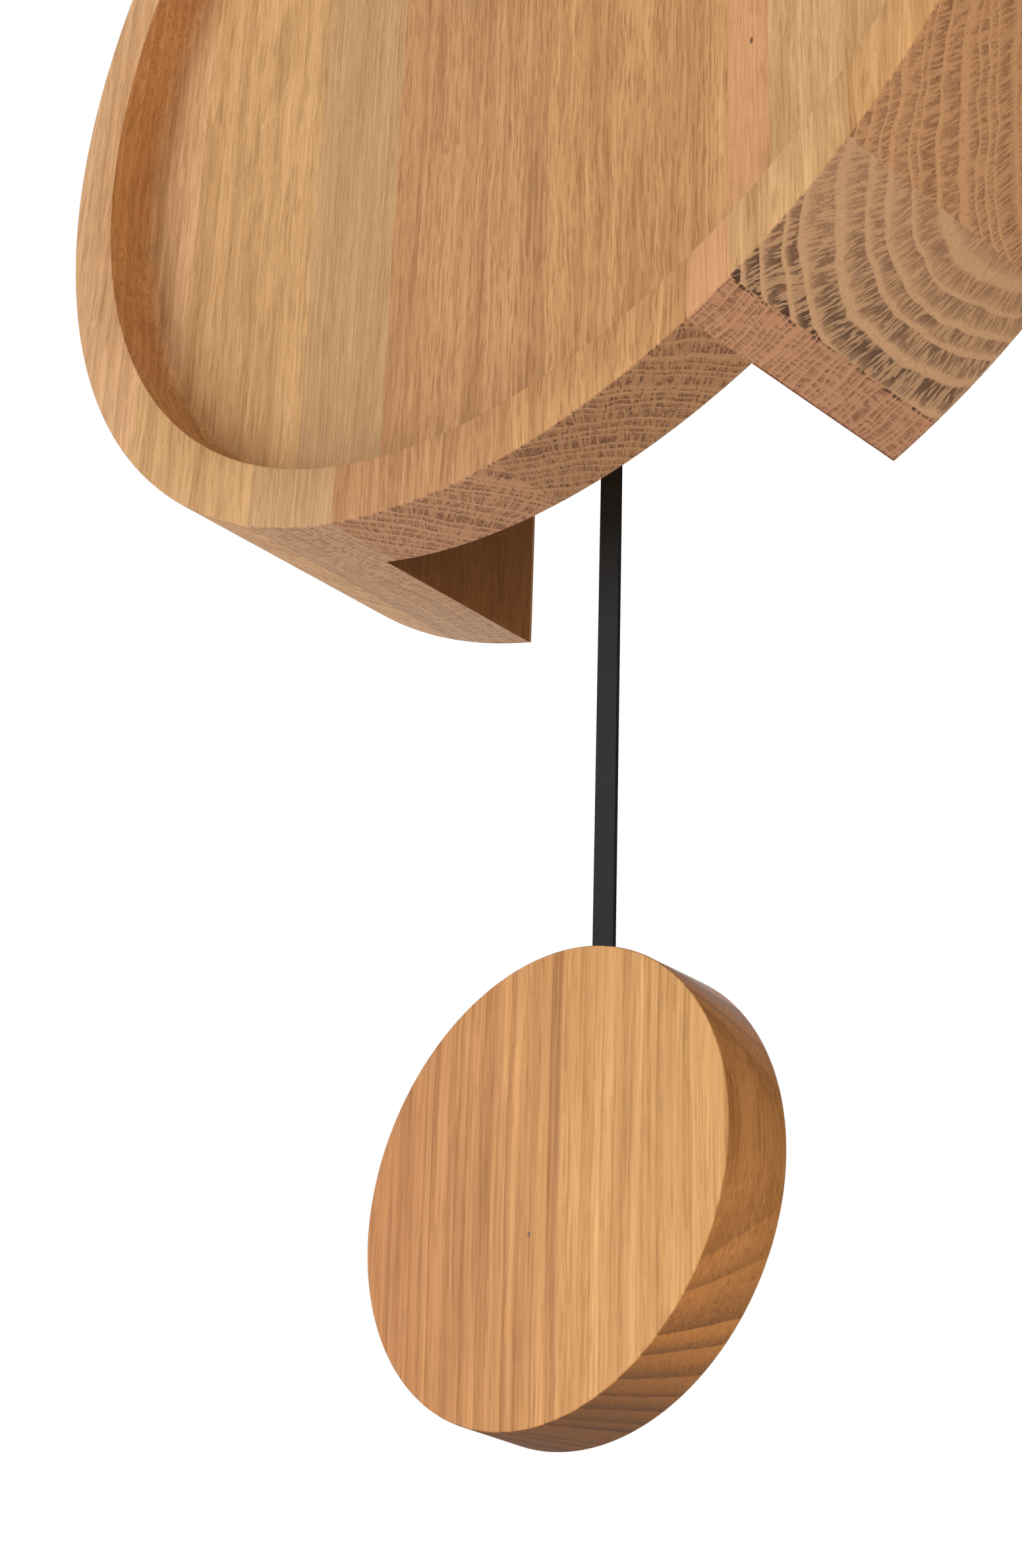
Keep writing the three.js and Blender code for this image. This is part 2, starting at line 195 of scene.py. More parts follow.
# the camera looks up at the clock from the lower right
cameraPlan = {
    "place": Vector((342.86, -328.49, -482.86)),  # mm from the middle of the front face
    "yaw": 45.481, "pitch": 28.997, "roll": 1.927, "lens": 69.02,
}
yaw, pitch, roll = (math.radians(cameraPlan[k]) for k in ("yaw", "pitch", "roll"))
ahead = Vector((-math.sin(yaw) * math.cos(pitch), math.cos(yaw) * math.cos(pitch), math.sin(pitch)))
level = Vector((math.cos(yaw), math.sin(yaw), 0))
above = level.cross(ahead)
right = level * math.cos(roll) + above * math.sin(roll)
up = above * math.cos(roll) - level * math.sin(roll)
cameraData = bpy.data.cameras.new("camera")
cameraData.lens = cameraPlan["lens"]
cameraData.sensor_width = 36
cameraData.clip_start = 0.01
camera = bpy.data.objects.new("camera", cameraData)
turn = Matrix((right, up, -ahead)).transposed().to_4x4()
camera.matrix_world = Matrix.Translation(dialCentre + cameraPlan["place"] * mm) @ turn
bpy.context.scene.collection.objects.link(camera)
bpy.context.scene.camera = camera
print("camera set")


casePlan = {
    "radius": 150.0, "rim": 13.6, "recess": 12.0, "floorFillet": 2.5, "floor": 6.2,
    "channel": 99.0, "channelShift": 1.0, "frontEdge": 0.5, "backEdge": 0.5, "cutEdge": 0.45,
    "bore": 4.6, "steps": 288,
}

# boards across the case, left to right: right edge, pith (x, y), ring width and distance to the pith in mm,
# then tone, how strongly its pores and its colour streaks show, and how bright its end grain is
caseBoards = [
    {"to": -118, "pith": (-190, -150), "ring": 2.2, "away": 150, "tone": "#D0A172",
     "pores": 0.45, "streaks": 0.9, "end": 0.9},
    {"to": -73, "pith": (-92, 62), "ring": 2.6, "away": 110, "tone": "#CDA06A",
     "pores": 0.35, "streaks": 1.0, "end": 0.95},
    {"to": -46, "pith": (-185, -20), "ring": 1.5, "away": 125, "tone": "#C1996A",
     "pores": 0.35, "streaks": 0.45, "end": 0.88},
    {"to": 1, "pith": (-70, -16), "ring": 2.5, "away": 65, "tone": "#C08E5E",
     "pores": 0.8, "streaks": 1.1, "end": 0.84},
    {"to": 49.3, "pith": (-18, -11), "ring": 2.2, "away": 60, "tone": "#C5945F",
     "pores": 0.9, "streaks": 1.1, "end": 0.68},
    {"to": 60.3, "pith": (55, -200), "ring": 1.6, "away": 150, "tone": "#CC9768",
     "pores": 0.4, "streaks": 0.4, "end": 0.8},
    {"to": 89, "pith": (116.7, -18), "ring": 4.6, "away": 48, "tone": "#D0A672",
     "pores": 0.25, "streaks": 1.0, "end": 0.8},
    {"to": 121, "pith": (165, 19), "ring": 2.6, "away": 85, "tone": "#C99963",
     "pores": 0.35, "streaks": 0.9, "end": 0.88},
    {"to": 200, "pith": (60, -170), "ring": 3.0, "away": 160, "tone": "#CC9C66",
     "pores": 0.35, "streaks": 0.8, "end": 0.98},
]
# the bob is one piece of wood, so only its tone drifts from left to right
bobBoards = [
    {"to": to, "pith": (-66, -8), "ring": 4.2, "away": 90, "tone": tone,
     "pores": pores, "streaks": streaks, "end": 1.0}
    for to, tone, pores, streaks in (
        (-36, "#BD824E", 0.5, 1.1), (0, "#BD824E", 0.5, 1.1), (32, "#CD965D", 0.45, 1.1), (200, "#D9A76B", 0.3, 1.0))
]

# how dark one year is, from its first spring wood (0) to its last late wood (1)
springBand = [(0.0, 0.0), (0.06, 1.0), (0.4, 0.85), (0.7, 0.5), (0.84, 0.0), (1.0, 0.0)]
thinBand = [(0.0, 0.0), (0.04, 1.0), (0.2, 0.8), (0.5, 0.25), (0.85, 0.0), (1.0, 0.0)]

# how large each pattern is in mm: round the trunk or across, outward, then along the board
grainPlan = {
    "lean": (60, 60, 240), "waver": (9, 9, 26), "vessel": (0.45, 0.7, 7.0), "ray": (0.5, 3.4, 12),
    "fibre": (0.55, 0.55, 45), "streak": (5.0, 5.0, 120), "hair": 0.75,
    "leanBy": 9.0,
}
# the ramps hold board data as colours, so each value is divided by the most that it can be
rampPlan = {"width": 300.0, "pith": 300.0, "ring": 8.0, "away": 300.0}


def perMm(sizes):
    return tuple(1 / size for size in sizes)


def tintWhere(tree, base, share, tint):
    # base as it is where share is 0, and multiplied by tint where share is 1
    tinted = addNode(tree, "ShaderNodeVectorMath", {0: base, 1: tint}, operation="MULTIPLY")
    return addNode(tree, "ShaderNodeMix", {"Factor": share, 6: base, 7: tinted}, data_type="RGBA").outputs[2]


def oakMaterial(name, boards, knot, stain=None, channelShade=None, bowlGrainShade=None, line=None, edgeShadeTint=None, smooth=False,
                band=springBand, bandDepth=1.0, rays=0.74, endTone=(1.15, 1.15, 1.42), bandTone="#7B5037",
                upDownShade=1.0, waver=2.8, hairLength=15):
    # European oak, planed, sanded and oiled: ring-porous lines, silky rays, darker thirsty end grain
    material, tree = newMaterial(name, boards[0]["tone"])
    place = addNode(tree, "ShaderNodeTexCoord")
    inMm = addNode(tree, "ShaderNodeVectorMath", {0: place.outputs["Object"], 3: 1000.0}, operation="SCALE")
    # the trunk leans 9 mm over a quarter of a metre, and wavers by a few mm or less over an inch
    wood = inMm
    for sizes, detail, reach in ((grainPlan["lean"], 1.0, grainPlan["leanBy"]), (grainPlan["waver"], 2.0, waver)):
        scaled = addNode(tree, "ShaderNodeVectorMath", {0: inMm, 1: perMm(sizes)}, operation="MULTIPLY")
        drift = addNode(tree, "ShaderNodeTexNoise", {"Vector": scaled, "Scale": 1.0, "Detail": detail})
        centred = addNode(tree, "ShaderNodeVectorMath", {
            0: drift.outputs["Color"], 1: (0.5, 0.5, 0.5)}, operation="SUBTRACT")
        shift = addNode(tree, "ShaderNodeVectorMath", {0: centred, 1: (reach, reach, 0.0)}, operation="MULTIPLY")
        wood = addNode(tree, "ShaderNodeVectorMath", {0: wood, 1: shift}, operation="ADD")
    # which board this is, from three ramps that run across all of them
    width, pithReach = rampPlan["width"], rampPlan["pith"]
    split = addNode(tree, "ShaderNodeSeparateXYZ", {0: inMm})
    across = addNode(tree, "ShaderNodeMapRange", {
        "Value": split.outputs["X"], "From Min": -width / 2, "From Max": width / 2})
    starts = [0.0] + [(board["to"] + width / 2) / width for board in boards[:-1]]
    layout, tones, habits = [], [], []
    for start, board in zip(starts, boards):
        pith = [(p + pithReach) / (2 * pithReach) for p in board["pith"]]
        layout.append((start, (*pith, board["ring"] / rampPlan["ring"], 1.0)))
        tones.append((start, colour(board["tone"], board["end"])))
        habits.append((start, (board["away"] / rampPlan["away"], board["pores"], board["streaks"], 1.0)))
    layoutRamp, toneRamp, habitRamp = [
        addNode(tree, "ShaderNodeValToRGB", {0: across}, stops=stops) for stops in (layout, tones, habits)]
    for ramp in (layoutRamp, toneRamp, habitRamp):
        ramp.color_ramp.interpolation = "LINEAR" if smooth else "CONSTANT"
    parts = addNode(tree, "ShaderNodeSeparateColor", {0: layoutRamp})
    habit = addNode(tree, "ShaderNodeSeparateColor", {0: habitRamp})
    pithX, pithY = [
        addNode(tree, "ShaderNodeMath", {0: parts.outputs[i], 1: 2 * pithReach, 2: -pithReach},
                operation="MULTIPLY_ADD") for i in (0, 1)]
    ringSize = addNode(tree, "ShaderNodeMath", {0: parts.outputs[2], 1: rampPlan["ring"]}, operation="MULTIPLY")
    away = addNode(tree, "ShaderNodeMath", {0: habit.outputs[0], 1: rampPlan["away"]}, operation="MULTIPLY")
    poreShow, streakShow = habit.outputs[1], habit.outputs[2]
    # the place inside the trunk: round it, out from the pith, along it
    woodSplit = addNode(tree, "ShaderNodeSeparateXYZ", {0: wood})
    dx = addNode(tree, "ShaderNodeMath", {0: woodSplit.outputs["X"], 1: pithX}, operation="SUBTRACT")
    dy = addNode(tree, "ShaderNodeMath", {0: woodSplit.outputs["Y"], 1: pithY}, operation="SUBTRACT")
    offset = addNode(tree, "ShaderNodeCombineXYZ", {"X": dx, "Y": dy})
    radius = addNode(tree, "ShaderNodeVectorMath", {0: offset}, operation="LENGTH").outputs["Value"]
    angle = addNode(tree, "ShaderNodeMath", {0: dy, 1: dx}, operation="ARCTAN2")
    arc = addNode(tree, "ShaderNodeMath", {0: angle, 1: away}, operation="MULTIPLY")
    trunk = addNode(tree, "ShaderNodeCombineXYZ", {"X": arc, "Y": radius, "Z": woodSplit.outputs["Z"]})
    # growth rings: width changes from year to year
    years = addNode(tree, "ShaderNodeMath", {0: radius, 1: ringSize}, operation="DIVIDE")
    luck = addNode(tree, "ShaderNodeTexNoise", {"W": years, "Scale": 0.45, "Detail": 1.0}, noise_dimensions="1D")
    unevenYears = addNode(tree, "ShaderNodeMath", {0: luck, 1: 1.8, 2: years}, operation="MULTIPLY_ADD")
    season = addNode(tree, "ShaderNodeMath", {0: unevenYears}, operation="FRACT")
    yearNumber = addNode(tree, "ShaderNodeMath", {0: unevenYears}, operation="FLOOR")
    yearLuck = addNode(tree, "ShaderNodeTexWhiteNoise", {"W": yearNumber}, noise_dimensions="1D").outputs["Value"]
    early = addNode(tree, "ShaderNodeValToRGB", {0: season}, stops=[(at, (amount,) * 3) for at, amount in band])
    # spring vessels 0.3 mm wide, drawn 0.45 mm so that they show; on the face they are dashes of up to 7 mm
    vesselSpace = addNode(tree, "ShaderNodeVectorMath", {0: trunk, 1: perMm(grainPlan["vessel"])}, operation="MULTIPLY")
    vessel = addNode(tree, "ShaderNodeTexVoronoi", {"Vector": vesselSpace, "Scale": 1.0, "Randomness": 0.85})
    vesselDot = addNode(tree, "ShaderNodeMapRange", {
        "Value": vessel.outputs["Distance"], "From Min": 0.46, "From Max": 0.28}, interpolation_type="SMOOTHSTEP")
    vesselLuck = addNode(tree, "ShaderNodeSeparateColor", {0: vessel.outputs["Color"]}).outputs[0]
    crowd = addNode(tree, "ShaderNodeMath", {0: early, 1: 0.85, 2: 0.05}, operation="MULTIPLY_ADD")
    vesselOn = addNode(tree, "ShaderNodeMath", {0: vesselLuck, 1: crowd}, operation="LESS_THAN")
    pore = addNode(tree, "ShaderNodeMath", {0: vesselDot, 1: vesselOn}, operation="MULTIPLY")
    # rays: thin sheets from pith to bark, about 12 mm tall; they cut the dark bands into dashes
    rayScaled = addNode(tree, "ShaderNodeVectorMath", {0: trunk, 1: perMm(grainPlan["ray"])}, operation="MULTIPLY")
    rayNoise = addNode(tree, "ShaderNodeTexNoise", {"Vector": rayScaled, "Scale": 1.0, "Detail": 1.5})
    ray = addNode(tree, "ShaderNodeMapRange", {
        "Value": rayNoise, "From Min": 0.47, "From Max": 0.57}, interpolation_type="SMOOTHSTEP")
    # fibres, drawn half a millimetre across so that they show, and slow colour streaks along the board
    fibreSpace = addNode(tree, "ShaderNodeVectorMath", {0: wood, 1: perMm(grainPlan["fibre"])}, operation="MULTIPLY")
    fibre = addNode(tree, "ShaderNodeTexNoise", {
        "Vector": fibreSpace, "Scale": 1.0, "Detail": 5.0, "Roughness": 0.72})
    streakSpace = addNode(tree, "ShaderNodeVectorMath", {0: wood, 1: perMm(grainPlan["streak"])}, operation="MULTIPLY")
    streak = addNode(tree, "ShaderNodeTexNoise", {
        "Vector": streakSpace, "Scale": 1.0, "Detail": 2.5, "Roughness": 0.6})
    # dark hairlines that wander with the figure
    hairSizes = (grainPlan["hair"], grainPlan["hair"], hairLength)
    hairSpace = addNode(tree, "ShaderNodeVectorMath", {0: wood, 1: perMm(hairSizes)}, operation="MULTIPLY")
    hairNoise = addNode(tree, "ShaderNodeTexNoise", {"Vector": hairSpace, "Scale": 1.0, "Detail": 2.0})
    hair = addNode(tree, "ShaderNodeMapRange", {
        "Value": hairNoise, "From Min": 0.53, "From Max": 0.63}, interpolation_type="SMOOTHSTEP")
    hairAmount = addNode(tree, "ShaderNodeMath", {0: hair, 1: streakShow}, operation="MULTIPLY")
    hairTone = addNode(tree, "ShaderNodeMath", {0: hairAmount, 1: -0.20, 2: 1.05}, operation="MULTIPLY_ADD")
    # long grain: how bright each pattern leaves it
    streakCentred = addNode(tree, "ShaderNodeMath", {0: streak, 1: -0.5}, operation="ADD")
    streakAmount = addNode(tree, "ShaderNodeMath", {0: streakCentred, 1: streakShow}, operation="MULTIPLY")
    streakTone = addNode(tree, "ShaderNodeMath", {0: streakAmount, 1: 0.95, 2: 1.0}, operation="MULTIPLY_ADD")
    fibreTone = addNode(tree, "ShaderNodeMapRange", {
        "Value": fibre, "From Min": 0.25, "From Max": 0.75, "To Min": 0.71, "To Max": 1.26})
    yearTone = addNode(tree, "ShaderNodeMath", {
        0: yearLuck, 1: -0.13 * bandDepth, 2: -0.05 * bandDepth}, operation="MULTIPLY_ADD")
    ringTone = addNode(tree, "ShaderNodeMath", {0: early, 1: yearTone, 2: 1.02}, operation="MULTIPLY_ADD")
    fineTone = addNode(tree, "ShaderNodeMath", {0: fibreTone, 1: hairTone}, operation="MULTIPLY")
    figureTone = addNode(tree, "ShaderNodeMath", {0: streakTone, 1: fineTone}, operation="MULTIPLY")
    yearlyTone = addNode(tree, "ShaderNodeMath", {0: figureTone, 1: ringTone}, operation="MULTIPLY")
    rayTone = addNode(tree, "ShaderNodeMath", {0: ray, 1: -0.05, 2: 1.02}, operation="MULTIPLY_ADD")
    grainTone = addNode(tree, "ShaderNodeMath", {0: yearlyTone, 1: rayTone}, operation="MULTIPLY")
    # darker streaks are also redder
    redTone = addNode(tree, "ShaderNodeMath", {0: grainTone, 1: 0.80}, operation="POWER")
    blueTone = addNode(tree, "ShaderNodeMath", {0: grainTone, 1: 1.35}, operation="POWER")
    deepen = addNode(tree, "ShaderNodeCombineXYZ", {0: redTone, 1: grainTone, 2: blueTone})
    longBase = addNode(tree, "ShaderNodeVectorMath", {0: toneRamp, 1: deepen}, operation="MULTIPLY")
    shownPore = addNode(tree, "ShaderNodeMath", {0: pore, 1: poreShow}, operation="MULTIPLY")
    longPore = addNode(tree, "ShaderNodeMath", {0: shownPore, 1: 0.55}, operation="MULTIPLY")
    longColour = addNode(tree, "ShaderNodeMix", {
        "Factor": longPore, 6: longBase, 7: colour("#96602E")}, data_type="RGBA").outputs[2]
    # end grain: spring bands dark and broken by pale rays, and darker still where it faces straight up or down, which
    # is painted shade
    endScaled = addNode(tree, "ShaderNodeVectorMath", {0: toneRamp, 3: toneRamp.outputs["Alpha"]}, operation="SCALE")
    facing = addNode(tree, "ShaderNodeSeparateXYZ", {0: place.outputs["Normal"]})
    steep = addNode(tree, "ShaderNodeMath", {0: facing.outputs["Z"]}, operation="ABSOLUTE")
    # painted shade: faces that point straight up or down are made darker
    squareOnShade = addNode(tree, "ShaderNodeMapRange", {
        "Value": steep, "From Min": 0.72, "From Max": 0.97, "To Min": 1.0, "To Max": upDownShade})
    endToned = addNode(tree, "ShaderNodeVectorMath", {0: endScaled, 1: endTone}, operation="MULTIPLY")
    endTint = addNode(tree, "ShaderNodeVectorMath", {0: endToned, 3: squareOnShade}, operation="SCALE")
    endFine = addNode(tree, "ShaderNodeVectorMath", {0: endTint, 3: fibreTone}, operation="SCALE")
    bandLuck = addNode(tree, "ShaderNodeMath", {0: yearLuck, 1: 0.35, 2: 0.50}, operation="MULTIPLY_ADD")
    bandShow = addNode(tree, "ShaderNodeMath", {0: poreShow, 1: 0.55, 2: 0.65}, operation="MULTIPLY_ADD")
    bandAmount = addNode(tree, "ShaderNodeMath", {0: bandLuck, 1: bandShow}, operation="MULTIPLY", use_clamp=True)
    endBand = addNode(tree, "ShaderNodeMath", {0: early, 1: bandAmount}, operation="MULTIPLY")
    endBanded = addNode(tree, "ShaderNodeMix", {
        "Factor": endBand, 6: endFine, 7: colour(bandTone)}, data_type="RGBA").outputs[2]
    endPored = addNode(tree, "ShaderNodeMix", {
        "Factor": shownPore, 6: endBanded, 7: colour("#4B2E1B")}, data_type="RGBA").outputs[2]
    if stain:
        # mineral stain in the spring bands, from a glue line to where it fades out
        near = addNode(tree, "ShaderNodeMapRange", {
            "Value": split.outputs["X"], "From Min": stain["fades"], "From Max": stain["joint"]})
        pastJoint = addNode(tree, "ShaderNodeMath", {
            0: split.outputs["X"], 1: stain["joint"]}, operation="GREATER_THAN")
        blot = addNode(tree, "ShaderNodeTexNoise", {"Vector": inMm, "Scale": 0.16, "Detail": 2.0})
        blotShare = addNode(tree, "ShaderNodeMapRange", {"Value": blot, "From Min": 0.30, "From Max": 0.46})
        nearSide = addNode(tree, "ShaderNodeMath", {0: near, 1: pastJoint}, operation="MULTIPLY")
        nearBand = addNode(tree, "ShaderNodeMath", {0: nearSide, 1: early}, operation="MULTIPLY")
        stained = addNode(tree, "ShaderNodeMath", {0: nearBand, 1: blotShare}, operation="MULTIPLY")
        endPored = addNode(tree, "ShaderNodeMix", {
            "Factor": stained, 6: endPored, 7: colour(stain["tone"])}, data_type="RGBA").outputs[2]
    endRay = addNode(tree, "ShaderNodeMath", {0: ray, 1: rays}, operation="MULTIPLY")
    endColour = addNode(tree, "ShaderNodeMix", {
        "Factor": endRay, 6: endPored, 7: endTint}, data_type="RGBA").outputs[2]
    endShare = addNode(tree, "ShaderNodeMapRange", {
        "Value": steep, "From Min": 0.15, "From Max": 0.8}, interpolation_type="SMOOTHSTEP")
    mixed = addNode(tree, "ShaderNodeMix", {
        "Factor": endShare, 6: longColour, 7: endColour}, data_type="RGBA").outputs[2]
    # one small pin knot
    apart = addNode(tree, "ShaderNodeVectorMath", {0: inMm, 1: knot["at"]}, operation="SUBTRACT")
    squashed = addNode(tree, "ShaderNodeVectorMath", {0: apart, 1: perMm(knot["size"])}, operation="MULTIPLY")
    knotReach = addNode(tree, "ShaderNodeVectorMath", {0: squashed}, operation="LENGTH").outputs["Value"]
    spot = addNode(tree, "ShaderNodeMapRange", {
        "Value": knotReach, "From Min": 1.2, "From Max": 0.5, "To Max": 0.85}, interpolation_type="SMOOTHSTEP")
    mixed = addNode(tree, "ShaderNodeMix", {
        "Factor": spot, 6: mixed, 7: colour(knot["tone"])}, data_type="RGBA").outputs[2]
    if line:
        # one long streak of red heartwood down the face
        aside = addNode(tree, "ShaderNodeMath", {0: woodSplit.outputs["X"], 1: line["at"]}, operation="SUBTRACT")
        fromLine = addNode(tree, "ShaderNodeMath", {0: aside}, operation="ABSOLUTE")
        lineShare = addNode(tree, "ShaderNodeMapRange", {
            "Value": fromLine, "From Min": line["half"], "From Max": 0.1, "To Max": 0.42},
            interpolation_type="SMOOTHSTEP")
        mixed = addNode(tree, "ShaderNodeMix", {
            "Factor": lineShare, 6: mixed, 7: colour(line["tone"])}, data_type="RGBA").outputs[2]
    if edgeShadeTint:
        # painted shade: the turned edge is made darker than the faces
        flat = addNode(tree, "ShaderNodeMath", {0: facing.outputs["Y"]}, operation="ABSOLUTE")
        edgeShadeShare = addNode(tree, "ShaderNodeMapRange", {"Value": flat, "From Min": 0.8, "From Max": 0.3})
        mixed = tintWhere(tree, mixed, edgeShadeShare, edgeShadeTint)
    if channelShade:
        # painted shade: the channel behind is darkened where shade falls inside it
        shifted = addNode(tree, "ShaderNodeMath", {0: split.outputs["X"], 1: channelShade["middle"]}, operation="SUBTRACT")
        fromMiddle = addNode(tree, "ShaderNodeMath", {0: shifted}, operation="ABSOLUTE")
        within = addNode(tree, "ShaderNodeMath", {0: fromMiddle, 1: channelShade["half"]}, operation="LESS_THAN")
        behind = addNode(tree, "ShaderNodeMath", {0: split.outputs["Y"], 1: channelShade["front"]}, operation="GREATER_THAN")
        below = addNode(tree, "ShaderNodeMath", {0: split.outputs["Z"], 1: channelShade["top"]}, operation="LESS_THAN")
        inFromBack = addNode(tree, "ShaderNodeMath", {0: split.outputs["Y"], 1: channelShade["back"]}, operation="LESS_THAN")
        deep = addNode(tree, "ShaderNodeMath", {0: behind, 1: inFromBack}, operation="MULTIPLY")
        low = addNode(tree, "ShaderNodeMath", {0: within, 1: below}, operation="MULTIPLY")
        channelShadeShare = addNode(tree, "ShaderNodeMath", {0: low, 1: deep}, operation="MULTIPLY")
        mixed = tintWhere(tree, mixed, channelShadeShare, channelShade["tint"])
    if bowlGrainShade:
        # the turned wall round the dial is darker, partly for its steeper, thirstier grain and partly as painted shade
        # in the recess
        fromDial = addNode(tree, "ShaderNodeVectorMath", {0: inMm, 1: (0, 0, bowlGrainShade["z"])}, operation="SUBTRACT")
        flatDial = addNode(tree, "ShaderNodeVectorMath", {0: fromDial, 1: (1, 0, 1)}, operation="MULTIPLY")
        fromAxis = addNode(tree, "ShaderNodeVectorMath", {0: flatDial}, operation="LENGTH").outputs["Value"]
        wallShare = addNode(tree, "ShaderNodeMapRange", {
            "Value": fromAxis, "From Min": bowlGrainShade["radius"] - 2, "From Max": bowlGrainShade["radius"] - 0.5},
            interpolation_type="SMOOTHSTEP")
        inside = addNode(tree, "ShaderNodeMath", {0: fromAxis, 1: bowlGrainShade["radius"] + 0.08}, operation="LESS_THAN")
        sunk = addNode(tree, "ShaderNodeMath", {0: split.outputs["Y"], 1: bowlGrainShade["back"]}, operation="LESS_THAN")
        onWall = addNode(tree, "ShaderNodeMath", {0: wallShare, 1: inside}, operation="MULTIPLY")
        bowlGrainShadeShare = addNode(tree, "ShaderNodeMath", {0: onWall, 1: sunk}, operation="MULTIPLY")
        mixed = tintWhere(tree, mixed, bowlGrainShadeShare, bowlGrainShade["tint"])
    # open pores and raised fibre under thin oil
    relief = addNode(tree, "ShaderNodeMath", {0: pore, 1: -0.8, 2: fibre}, operation="MULTIPLY_ADD")
    bump = addNode(tree, "ShaderNodeBump", {"Height": relief, "Strength": 0.25, "Distance": 0.0004})
    gloss = addNode(tree, "ShaderNodeMapRange", {"Value": fibre, "To Min": 0.50, "To Max": 0.68})
    shader = addNode(tree, "ShaderNodeBsdfPrincipled", {
        "Base Color": mixed, "Roughness": gloss, "Normal": bump, "IOR": 1.5, "Specular IOR Level": 0.3})
    addNode(tree, "ShaderNodeOutputMaterial", {"Surface": shader})
    return material


def finish(name, base, roughness, metallic=0.0, grain=0.4, bumpDepth=0.03, swing=0.08, specular=0.5,
           anisotropic=0.0, stretch=(1, 1, 1), glow=0.0, blotch=14):
    # one surface with fine grain in mm, a little uneven in tone and gloss; blotch is how wide a tone patch is in mm
    material, tree = newMaterial(name, base)
    place = addNode(tree, "ShaderNodeTexCoord").outputs["Object"]
    fineSpace = addNode(tree, "ShaderNodeVectorMath", {
        0: place, 1: [1000 / grain * s for s in stretch]}, operation="MULTIPLY")
    fine = addNode(tree, "ShaderNodeTexNoise", {"Vector": fineSpace, "Scale": 1.0, "Detail": 2.0})
    broadSpace = addNode(tree, "ShaderNodeVectorMath", {0: place, 3: 1000 / blotch}, operation="SCALE")
    broad = addNode(tree, "ShaderNodeTexNoise", {"Vector": broadSpace, "Scale": 1.0, "Detail": 2.0})
    tone = addNode(tree, "ShaderNodeMapRange", {
        "Value": broad, "From Min": 0.3, "From Max": 0.7, "To Min": 1 - swing, "To Max": 1 + swing})
    tinted = addNode(tree, "ShaderNodeVectorMath", {0: colour(base)[:3], 3: tone}, operation="SCALE")
    gloss = addNode(tree, "ShaderNodeMapRange", {
        "Value": fine, "From Min": 0.3, "From Max": 0.7, "To Min": roughness - 0.06, "To Max": roughness + 0.06})
    bump = addNode(tree, "ShaderNodeBump", {"Height": fine, "Strength": 0.35, "Distance": bumpDepth * mm})
    shader = addNode(tree, "ShaderNodeBsdfPrincipled", {
        "Base Color": tinted, "Roughness": gloss, "Normal": bump, "Metallic": metallic,
        "Specular IOR Level": specular, "Anisotropic": anisotropic,
        "Emission Color": colour(base), "Emission Strength": glow})
    addNode(tree, "ShaderNodeOutputMaterial", {"Surface": shader})
    return material


dialZ = dialCentre.z / mm
channelReach = casePlan["channel"] / 2 + 0.3   # just past the channel's walls
caseWood = {
    "stain": {"joint": 60.3, "fades": 83, "tone": "#43281A"},
    # the dial's wall: darker grain together with painted shade in the recess
    "bowlGrainShade": {"radius": casePlan["radius"] - casePlan["rim"], "z": dialZ, "back": -48.0, "tint": (0.84, 0.74, 0.58)},
    "knot": {"at": (56.6, -49.0, dialZ - 69.5), "size": (0.45, 4.0, 0.95), "tone": "#4A2815"},
    # painted shade inside the channel behind the dial
    "channelShade": {"middle": casePlan["channelShift"], "half": channelReach, "front": -42.5, "back": -0.6,
             "top": dialZ + channelReach, "tint": (0.50, 0.36, 0.24)},
}
bobWood = {
    # the edge tint paints shade on the bob's turned edge
    "line": {"at": 4.8, "half": 1.1, "tone": "#84502F"}, "edgeShadeTint": (0.80, 0.68, 0.58), "smooth": True,
    "knot": {"at": (-2.0, -42.4, dialZ - 300.0), "size": (0.5, 4.0, 0.6), "tone": "#7A6258"},
    "band": thinBand, "bandDepth": 1.7, "rays": 0.15, "endTone": (0.98, 0.88, 0.74), "bandTone": "#4A2D19",
    # the value for faces that point up or down paints shade on the bob's top and bottom
    "upDownShade": 0.42, "waver": 0.8, "hairLength": 60,
}
caseOak = oakMaterial("oiledOakCase", caseBoards, **caseWood)
bobOak = oakMaterial("oiledOakBob", bobBoards, **bobWood)
# fine matt grain
powderBlack = finish("powderCoatedSteelBlack", "#1D1F21", 0.6, grain=0.25, bumpDepth=0.02, swing=0.05,
                     specular=0.18)
# bright, slightly cloudy
zincSteel = finish("zincPlatedSteel", "#B9BBBC", 0.32, metallic=1.0, grain=0.5, swing=0.06)
# fine spark texture
mouldedBlack = finish("mouldedPolystyreneBlack", "#232426", 0.5, grain=0.35, bumpDepth=0.03)
# waxy sheen
mouldedWhite = finish("mouldedAcetalWhite", "#E4E1D8", 0.36, grain=0.8, bumpDepth=0.01, swing=0.03)
# dull and even
blackRubber = finish("blackRubber", "#191919", 0.8, grain=0.3)
# warm metal with a stretched highlight
turnedBrass = finish("turnedBrass", "#C9A24B", 0.26, metallic=1.0, grain=0.2, swing=0.05, anisotropic=0.4)
# reddish metal in fine turns
copperWire = finish("enamelledCopperWire", "#A8562A", 0.34, metallic=1.0, grain=0.12, stretch=(1, 1, 6))
# satin green lacquer
boardGreen = finish("greenSolderMask", "#1F5A38", 0.35, grain=0.5)
# smooth film with a soft shine
cellSleeve = finish("shrinkSleeveBlue", "#33506B", 0.3, grain=0.6, swing=0.04)
print("materials made")


